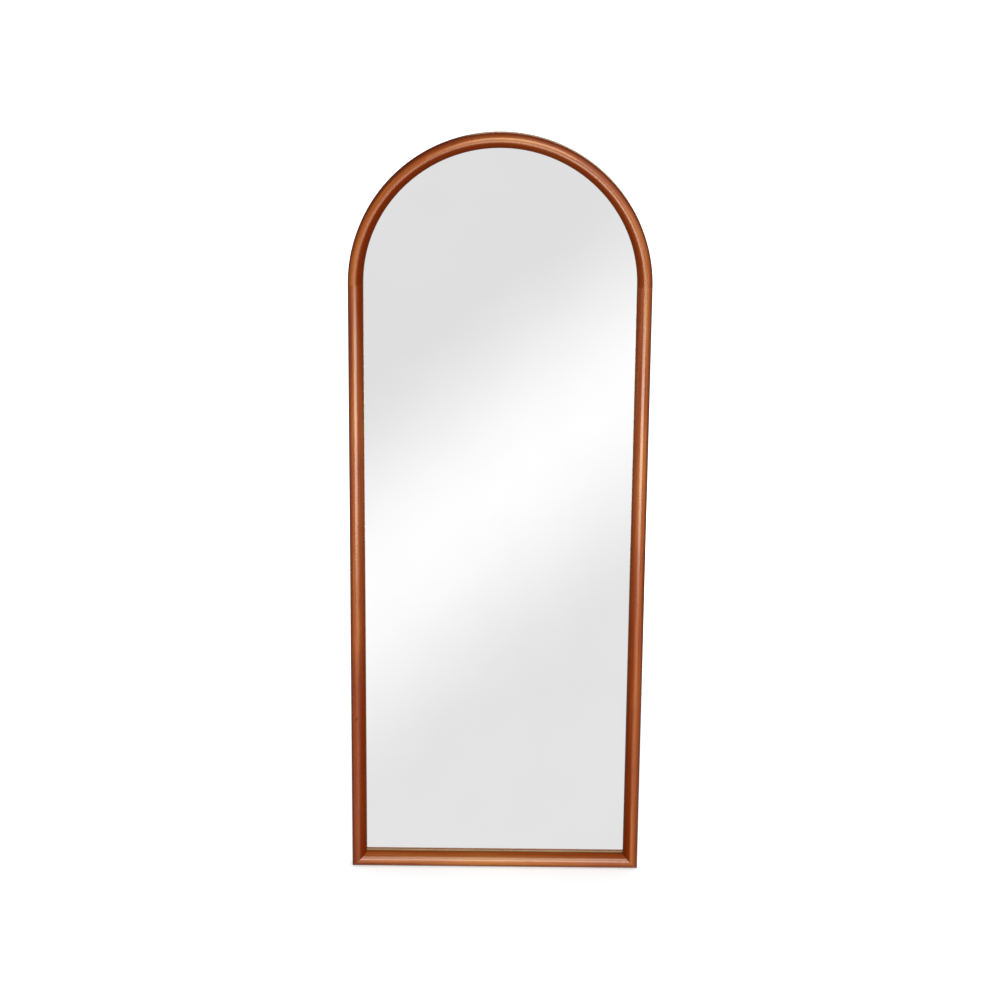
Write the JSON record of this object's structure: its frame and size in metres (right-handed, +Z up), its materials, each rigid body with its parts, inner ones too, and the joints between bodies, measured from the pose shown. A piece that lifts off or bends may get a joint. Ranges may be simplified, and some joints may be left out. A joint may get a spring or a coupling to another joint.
{
  "type": "arched wall mirror",
  "caption": "Full-length arched wall mirror: silvered glass in a rounded, varnished wooden frame, with a screwed backing board and swinging hanging rings on its back.",
  "frame": {"origin": "middle of the frame's bottom edge, on the plane of the frame's back", "axes": "+Z up along the stiles, +Y back towards the wall, +X to the right seen from the front"},
  "size_m": [0.7, 0.047, 1.8],
  "materials": {
    "stained_wood": "red-brown stain under gloss varnish",
    "silvered_glass": "polished, silvered on the back",
    "joint_wood": "raw beech",
    "fibreboard": "raw hardboard",
    "foam": "closed-cell foam",
    "block_rubber": "matt",
    "zinc_steel": "bright zinc plate",
    "pad_rubber": "matt"
  },
  "bodies": {
    "frame": {"left_stile": "stained_wood", "right_stile": "stained_wood", "bottom_rail": "stained_wood", "arch_left": "stained_wood", "arch_crown": "stained_wood", "arch_right": "stained_wood", "mirror_glass": "silvered_glass", "arch_dowels": "joint_wood", "mitre_keys": "joint_wood", "backing_board": "fibreboard", "cushion_tape": "foam", "setting_blocks": "block_rubber", "left_hanger_strap": "zinc_steel", "right_hanger_strap": "zinc_steel", "board_screws": "zinc_steel", "hanger_screws": "zinc_steel", "corner_nails": "zinc_steel", "wall_pads": "pad_rubber"},
    "left_ring": {"left_hanger_ring": "zinc_steel"},
    "right_ring": {"right_hanger_ring": "zinc_steel"}
  },
  "joints": [
    {"name": "left_ring_swing", "type": "hinge", "parent": "frame", "child": "left_ring", "pos_m": [-0.3395, 0.00278, 1.39], "axis": [1, 0, 0], "range_deg": [0, 175]},
    {"name": "right_ring_swing", "type": "hinge", "parent": "frame", "child": "right_ring", "pos_m": [0.3395, 0.00278, 1.39], "axis": [1, 0, 0], "range_deg": [0, 175]}
  ]
}
